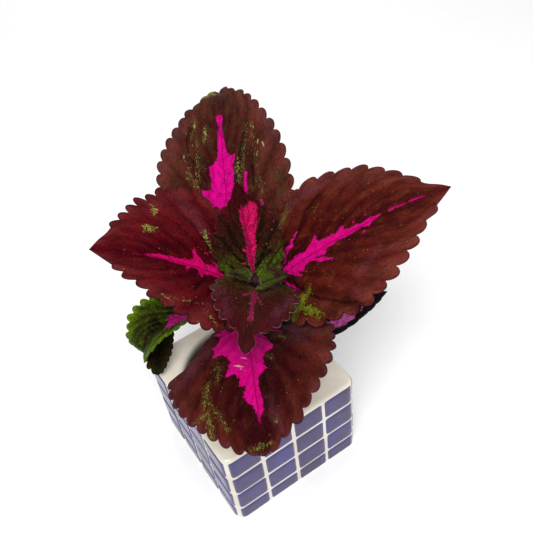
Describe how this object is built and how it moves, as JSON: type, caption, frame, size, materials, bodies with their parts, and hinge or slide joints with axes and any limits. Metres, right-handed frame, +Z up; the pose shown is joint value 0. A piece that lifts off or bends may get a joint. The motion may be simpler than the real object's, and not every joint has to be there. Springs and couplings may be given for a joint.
{
  "type": "potted coleus plant",
  "caption": "Bushy coleus with opposite pairs of broad scalloped leaves, standing in a square tiled ceramic pot.",
  "frame": {"origin": "centre of the pot's flat base", "axes": "+Z up along the plant; +X and +Y along the pot's two horizontal sides"},
  "size_m": [0.1789, 0.229, 0.2053],
  "materials": {
    "glazed_pot": "glossy violet glaze on raised tiles, cream glaze on the joints and the flat top",
    "soil": "matte crumbly potting mix",
    "stem": "satin fleshy square stem",
    "leaf": "satin quilted maroon leaf with a magenta centre and green flecks",
    "young_leaf": "satin quilted brown-green leaf with a rose midrib streak",
    "low_leaf": "satin dark leaf with green or pale margin"
  },
  "bodies": {
    "root": {"pot": "glazed_pot", "soil": "soil", "stem": "stem", "leaf_right": "leaf", "leaf_left": "leaf", "leaf_back": "leaf", "leaf_front": "leaf", "leaf_young_back": "young_leaf", "leaf_young_front": "young_leaf", "leaf_tip_right": "young_leaf", "leaf_tip_left": "young_leaf", "leaf_low_left": "low_leaf", "leaf_low_right": "low_leaf", "leaf_low_under": "low_leaf"}
  },
  "joints": []
}
